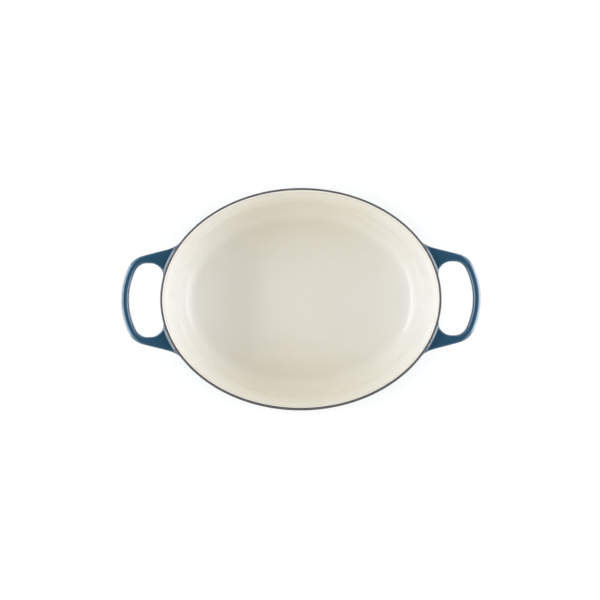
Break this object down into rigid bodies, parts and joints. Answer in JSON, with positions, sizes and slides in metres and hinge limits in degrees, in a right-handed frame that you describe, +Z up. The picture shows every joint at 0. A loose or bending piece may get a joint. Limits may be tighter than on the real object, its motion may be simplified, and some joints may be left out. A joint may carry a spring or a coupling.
{
  "type": "dutch oven pot",
  "caption": "Open oval pot of an enamelled cast iron dutch oven: leaning wall, rounded base, loop handle at each end of the rim, pale inside and dark teal outside.",
  "frame": {"origin": "centre of the base, on the surface that the pot stands on", "axes": "+X along the pot's length, towards the right handle; +Z up"},
  "size_m": [0.4, 0.2448, 0.124],
  "materials": {
    "iron": "as cast, hidden under the enamel",
    "teal_enamel": "glossy fused enamel",
    "sand_enamel": "glossy fused enamel",
    "rim_enamel": "matte fused enamel"
  },
  "bodies": {
    "root": {"iron_bowl": "iron", "iron_handle_left": "iron", "iron_handle_right": "iron", "outer_enamel": "teal_enamel", "handle_enamel_left": "teal_enamel", "handle_enamel_right": "teal_enamel", "base_enamel": "teal_enamel", "inner_enamel": "sand_enamel", "rim_enamel": "rim_enamel"}
  },
  "joints": []
}
